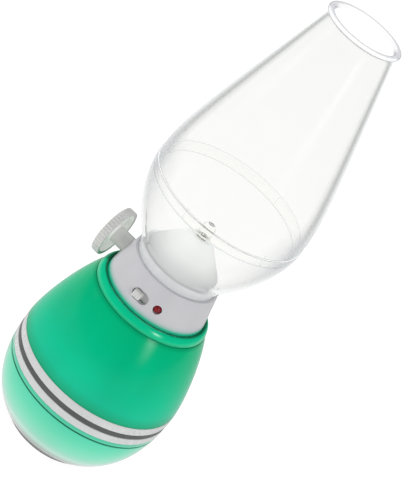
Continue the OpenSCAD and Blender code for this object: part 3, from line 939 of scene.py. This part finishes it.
def make_socket():
    """Micro USB socket: a folded metal shell round a dark tongue with five contacts."""
    low, high = box("usb_socket")
    shell = block("usb_shell", low, high, 0.45, 4)
    hollow = block("hollow", (low.x + 0.3, low.y + 0.5, low.z + 0.3),
                   (high.x - 0.3, high.y + 2, high.z - 0.3), 0.3)
    settle(cut(shell, [hollow]), "base", "socket_shell", "usb_socket")
    middle = (low.z + high.z) / 2
    tongue = block("usb_tongue", (-1.9, low.y + 0.4, middle - 0.4),
                   (1.9, high.y - 0.8, middle + 0.2), 0.08)
    settle(tongue, "base", "black_plastic")
    pins = [block("pin", (x - 0.12, low.y + 0.6, middle + 0.15),
                  (x + 0.12, high.y - 1, middle + 0.26), 0.03) for x in (-1.3, -0.65, 0, 0.65, 1.3)]
    settle(join(pins[0], pins[1:]), "base", "nickel_strip").name = "usb_pins"


# ---- Light and chimney ----

def make_cone():
    """Frosted cone with a hole for the light at its tip and two sound holes."""
    low, high = box("diffuser_cone")
    foot_r, spigot_top = high.x, 86.5
    cone = lathe("cone", rounded([
        (12.6, low.z), (foot_r, low.z, 0.1), (foot_r, spigot_top, 0.3), (4.4, high.z - 0.4, 0.3),
        (4.0, high.z, 0.2), (2.6, high.z, 0.15), (2.6, high.z - 0.6), (3.0, high.z - 0.6),
        (3.0, high.z - 1.6), (12.6, spigot_top - 0.6)]), 144)
    hole_r, hole_low, hole_high = 0.42, high.z - 3, high.z + 1
    holes = []
    for x in (-3.35, 3.35):
        hole = lathe("hole", [(0, hole_low), (hole_r, hole_low), (hole_r, hole_high),
                              (0, hole_high)], 24)
        holes.append(moved(hole, x * MM, 0))
    settle(cut(cone, holes), "base", "diffuser_plastic", "diffuser_cone")


def make_tip_light():
    """Clear 5 mm light: flanged dome, and in it the metal cup and two legs to the board."""
    low, high = box("flame_led")
    tip = box("diffuser_cone")[1].z
    flange, seat = tip - 1.6, tip - 0.65
    dome = rounded([(0, flange), (2.9, flange, 0.1), (2.9, seat, 0.12), (2.5, seat)])
    dome += arc(0, high.z - 2.5, 2.5, 0, 90, 18)
    light = settle(lathe("clear_light", dome, 72), "base", "clear_led", "flame_led")
    # The dome's top gets the grey seam plastic: a painted dark reflection at its tip.
    paint_faces(light, "clear_seam", lambda at: at.z > high.z - 0.35)
    cup = lathe("light_cup", rounded([(0, seat + 1.4), (0.45, seat + 1.4), (0.95, seat + 2.3, 0.05),
                                      (0.8, seat + 2.3), (0.4, seat + 1.7), (0, seat + 1.7)]), 32)
    posts = [block("post", (x - 0.25, -0.25, low.z), (x + 0.25, 0.25, seat + h), 0.06)
             for x, h in ((-1.27, 2.0), (1.27, 2.2))]
    arms = [block("arm", (-1.4, -0.22, seat + 1.1), (0.4, 0.22, seat + 1.5), 0.05),
            block("arm", (0.75, -0.22, seat + 1.9), (1.5, 0.22, seat + 2.3), 0.05)]
    settle(join(cup, posts + arms), "base", "nickel_strip")


def make_bowl():
    """Clear lower half of the chimney, with a skirt over the collar and a rabbet for the lap."""
    lap_r = bowl_r - 0.95
    spigot = 15.55
    spigot_top = box("collar")[1].z
    skirt = [(spigot, neck_z + 0.05, 0.1), (skirt_r, neck_z + 0.05, 0.25)]
    inner_z = 90.1
    outer = (stretch(neck_curve, neck_z + 1.6, bowl_z, 0, 12)[:-1]
             + stretch(bowl_curve, bowl_z, seam_z, 0, 48))
    inner = stretch(bowl_curve, inner_z, seam_z - 4, clear_wall, 40)[::-1]
    corners = skirt + outer[:-1] + [(*outer[-1], 0.2), (lap_r, seam_z, 0.1), (lap_r, seam_z - 4)]
    corners += inner + [(spigot, spigot_top + 0.9)]
    bowl = lathe("chimney_low", rounded(corners), 240, sharp=50)
    settle(bowl, "chimney", "clear_plastic", "chimney_bowl", material=MATERIALS["clear_bowl"])
    paint_wall(bowl, neck_curve, neck_z + 1.6, bowl_z, "bowl_wall")
    paint_wall(bowl, bowl_curve, bowl_z, seam_z - 0.3, "bowl_wall")
    paint_wall(bowl, bowl_curve, seam_z - 0.3, seam_z, "clear_seam")


def make_flue():
    """Clear upper half of the chimney: lap, tapering wall, turned-out lip and four small lugs."""
    tongue_r = bowl_r - 1.0
    tongue_in_r = tongue_r - 1.05
    tongue_z = seam_z - 3.95
    edge = 0.6
    outer = stretch(flue_curve, seam_z + 0.01, flue_top, 0, 60)
    inner = stretch(flue_curve, seam_z + 0.5, flue_top - 1, clear_wall, 60)[::-1]
    neck = [outer[-1], Vector((mouth_r - 1.25, flue_top + 0.7)),
            Vector((mouth_r - 0.95, flue_top + 1.1)), Vector((mouth_r - 0.85, flue_top + 1.2))]
    flare = [bez(neck, i / 5) for i in range(1, 5)]
    lip = arc(mouth_r - edge, rim_top - edge, edge, -80, 90, 14)
    mouth = [Vector((mouth_r - 1.6, rim_top)), Vector((mouth_r - 2.1, rim_top)),
             Vector((mouth_r - 2.3, rim_top - 0.5)), Vector((mouth_r - 2.32, rim_top - 1.4))]
    corners = [(tongue_in_r, tongue_z, 0.15), (tongue_r, tongue_z, 0.15), (tongue_r, seam_z),
               (*outer[0], 0.15)] + outer[1:] + flare + lip
    corners += [bez(mouth, i / 10) for i in range(11)] + inner
    flue = lathe("chimney_top", rounded(corners), 240, sharp=50)
    settle(flue, "chimney", "clear_plastic", "chimney_flue")
    paint_wall(flue, flue_curve, seam_z + 0.02, seam_z + 0.3, "clear_seam")
    paint_wall(flue, flue_curve, seam_z + 0.3, flue_top)
    paint_faces(flue, "clear_wall", lambda at: flue_top - 0.1 < at.z < flue_top + 0.6
                and at.xy.length > mouth_r - 1.8)
    paint_faces(flue, "clear_lip", lambda at: at.z > flue_top + 0.6)
    # A band of painted shade on the flare under the lip, for its dark contour line.
    paint_faces(flue, "clear_seam", lambda at: flue_top + 0.6 < at.z < flue_top + 1.3
                and at.xy.length > mouth_r - 1.4)
    lugs = []
    for angle in (-96, -30, 74, 180):
        lug = block("lug", (tongue_in_r - 0.4, -0.4, tongue_z + 0.3),
                    (tongue_in_r + 0.3, 0.4, seam_z - 0.05), 0.1)
        lugs.append(turn_mesh(lug, Matrix.Rotation(math.radians(angle), 4, "Z")))
    settle(join(lugs[0], lugs[1:]), "chimney", "clear_plastic").name = "lugs"


# ---- Studio ----

def direction(azimuth, elevation):
    """Unit vector from the lamp; azimuth 0 is the switch's side (-Y), 90 is +X."""
    a, e = math.radians(azimuth), math.radians(elevation)
    return Vector((math.cos(e) * math.sin(a), -math.cos(e) * math.cos(a), math.sin(e)))


VIEW_AZIMUTH = 12.3
FLOOR_GLOW = 0.9                        # the floor's light, of which mirrors see a share
MIRROR_SHARE = 0.5
SURROUND_LIGHT = 0.42                   # the surround as light, against 1 where it is seen
SURROUND_MIRROR = 0.09


def make_camera():
    """Camera above the switch's side, tilted so that the lamp leans over to the right."""
    distance, elevation, lean = 0.5704, 27.16, 38.41
    aim = Vector((0, 0, 0.09706))
    camera = bpy.data.objects.new("camera", bpy.data.cameras.new("camera"))
    camera.data.sensor_width = 36
    camera.data.lens = 126.75
    camera.data.clip_start = 0.01
    back = direction(VIEW_AZIMUTH, elevation)
    camera.location = aim + back * distance
    right = Vector((0, 0, 1)).cross(back).normalized()
    look = (aim + right * 0.91 * MM - camera.location).to_track_quat("-Z", "Y")
    camera.rotation_mode = "QUATERNION"
    camera.rotation_quaternion = look @ Quaternion((0, 0, 1), math.radians(lean))
    bpy.context.scene.collection.objects.link(camera)
    bpy.context.scene.camera = camera


def softbox(name, azimuth, elevation, distance, width, height, power):
    """Rectangular soft light aimed at the middle of the lamp, feathered towards its edges."""
    light = bpy.data.lights.new(name, "AREA")
    light.shape = "RECTANGLE"
    light.size, light.size_y = width, height
    light.energy = power
    light.use_nodes = True
    tree = light.node_tree
    nodes, links = tree.nodes, tree.links
    split = nodes.new("ShaderNodeSeparateXYZ")
    links.new(nodes.new("ShaderNodeNewGeometry").outputs["Parametric"], split.inputs[0])
    feathers = []
    for axis in ("X", "Y"):
        ease = nodes.new("ShaderNodeMapRange")
        ease.interpolation_type = "SMOOTHSTEP"
        ease.inputs["From Max"].default_value = 0.5
        ease.inputs["To Max"].default_value = 2.0
        links.new(math_node(tree, "PINGPONG", split.outputs[axis], 0.5), ease.inputs["Value"])
        feathers.append(ease.outputs[0])
    links.new(math_node(tree, "MULTIPLY", *feathers), nodes["Emission"].inputs["Strength"])
    lamp = bpy.data.objects.new(name, light)
    middle = Vector((0, 0, 0.1))
    lamp.location = middle + direction(azimuth, elevation) * distance
    lamp.rotation_mode = "QUATERNION"
    lamp.rotation_quaternion = (middle - lamp.location).to_track_quat("-Z", "Y")
    bpy.context.scene.collection.objects.link(lamp)
    return lamp


def make_floor():
    """Pale floor that glows, so that the lamp hardly shades it; mirrors see it dimmer."""
    bm = bmesh.new()
    bmesh.ops.create_grid(bm, x_segments=8, y_segments=8, size=4)
    floor = as_object("floor", bm)
    s = Surface("floor_paper", (0.3, 0.3, 0.3), 0.9, specular_ior_level=0.0,
                emission_color=(1, 1, 1, 1))
    s.mottle(0.02, 60)
    path = s.add("ShaderNodeLightPath").outputs
    unbent = s.math("LESS_THAN", path["Transmission Depth"], 0.5)
    mirrored = s.math("MULTIPLY", path["Is Glossy Ray"], unbent)
    s.links.new(s.between(mirrored, 0, 1, FLOOR_GLOW, FLOOR_GLOW * MIRROR_SHARE),
                s.shader.inputs["Emission Strength"])
    s.material.cycles.emission_sampling = "NONE"
    floor.data.materials.append(s.material)


def make_surround():
    """Pale surround: white where it is seen, softer as light, and dim in mirrors."""
    world = bpy.data.worlds.new("surround")
    world.use_nodes = True
    world.cycles.sampling_method = "NONE"
    bpy.context.scene.world = world
    tree = world.node_tree
    nodes, links = tree.nodes, tree.links
    path = nodes.new("ShaderNodeLightPath").outputs
    inside = math_node(tree, "MULTIPLY", path["Is Glossy Ray"], path["Transmission Depth"])
    clear = math_node(tree, "MAXIMUM", inside, path["Is Transmission Ray"])
    seen = math_node(tree, "MAXIMUM", path["Is Camera Ray"], clear)
    seen.node.use_clamp = True
    glossy = nodes.new("ShaderNodeMapRange")
    glossy.inputs["To Min"].default_value = SURROUND_LIGHT
    glossy.inputs["To Max"].default_value = SURROUND_MIRROR
    links.new(path["Is Glossy Ray"], glossy.inputs["Value"])
    level = nodes.new("ShaderNodeMix")
    links.new(seen, level.inputs[0])
    links.new(glossy.outputs[0], level.inputs[2])
    level.inputs[3].default_value = 1.0
    links.new(level.outputs[0], nodes["Background"].inputs["Strength"])
    nodes["Background"].inputs["Color"].default_value = (1, 1, 1, 1)


def make_studio():
    """Floor, surround and three soft lights, with enough bounces for the chimney's walls."""
    make_floor()
    make_surround()
    softbox("key", VIEW_AZIMUTH + 44, 22, 0.9, 0.38, 0.75, 3.0)
    fill = softbox("fill", VIEW_AZIMUTH - 80, 15, 0.8, 0.35, 0.5, 2.6)
    fill.visible_glossy = False
    softbox("top", VIEW_AZIMUTH + 170, 65, 0.9, 0.5, 0.4, 1.2)
    scene = bpy.context.scene
    scene.view_settings.view_transform = "Standard"
    scene.cycles.transmission_bounces = 16
    scene.cycles.glossy_bounces = 14
    scene.cycles.transparent_max_bounces = 24
    scene.cycles.max_bounces = 20


make_camera()
paint_nodes()
for make in (make_foot, make_sole, make_lower_shell, make_band, make_stripe, make_upper_shell,
             make_lip, make_collar, make_slider, make_charge_light, make_knob, make_socket,
             make_cone, make_tip_light, make_bowl, make_flue, make_studio):
    make()
